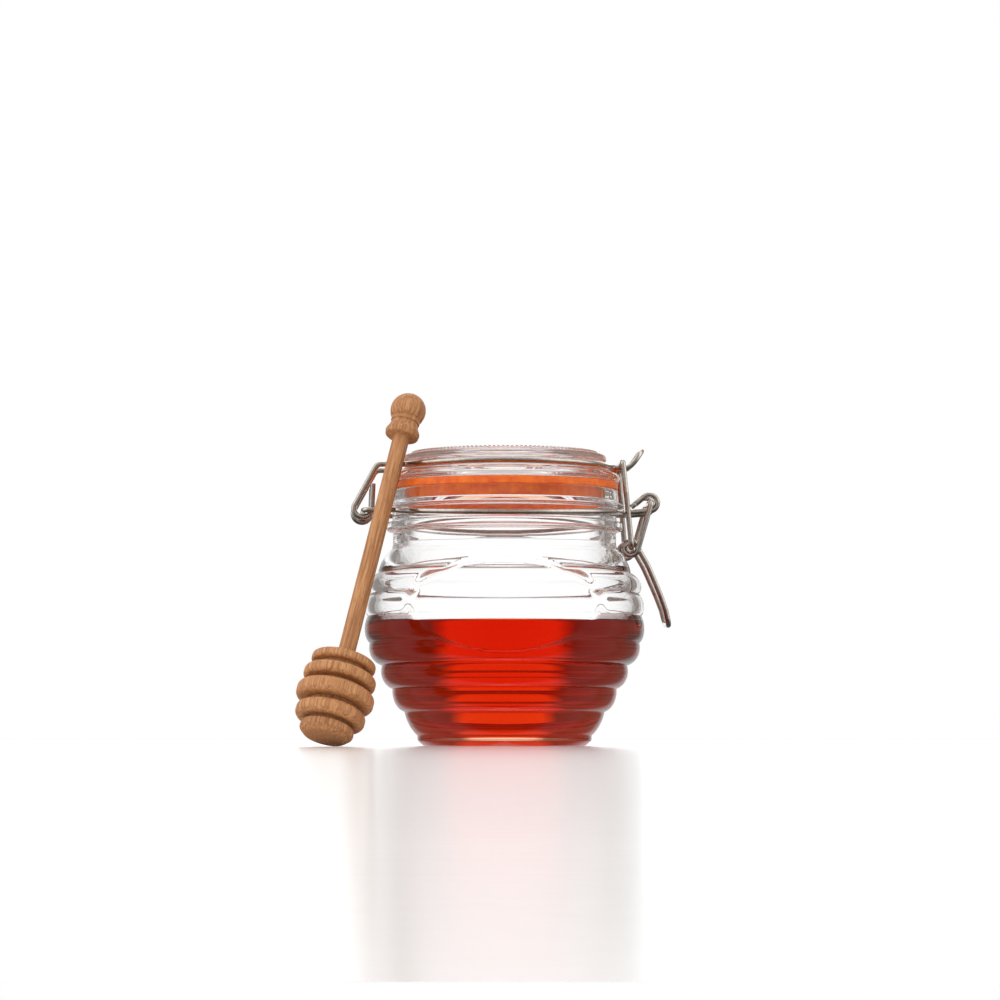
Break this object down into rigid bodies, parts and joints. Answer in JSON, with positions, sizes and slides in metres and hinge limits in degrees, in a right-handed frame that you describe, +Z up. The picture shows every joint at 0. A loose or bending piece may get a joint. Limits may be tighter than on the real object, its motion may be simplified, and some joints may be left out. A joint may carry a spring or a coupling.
{
  "type": "clip-top honey jar with dipper",
  "caption": "Ribbed round glass honey jar shut by a wire-clipped glass lid on an orange rubber ring, part full of amber honey, with a turned beech honey dipper leaning on it.",
  "frame": {"origin": "the centre of the jar's flat underside, on the surface it stands on", "axes": "+Z up along the jar's axis, +X from the lid's hinge to the latch, -Y the jar's front with its smooth oval pad"},
  "size_m": [0.1346, 0.115, 0.1261],
  "materials": {
    "clear_glass": "clear pressed glass, smooth",
    "honey": "clear dark amber honey, smooth and wet",
    "orange_rubber": "soft orange rubber, slight sheen",
    "stainless_wire": "drawn round wire, polished by the die",
    "beech": "turned and sanded, unvarnished"
  },
  "bodies": {
    "root": {"jar": "clear_glass", "lid": "clear_glass", "honey": "honey", "gasket": "orange_rubber", "neck_wire": "stainless_wire", "lid_wire": "stainless_wire", "bail_link": "stainless_wire", "latch_lever": "stainless_wire", "dipper": "beech"}
  },
  "joints": []
}
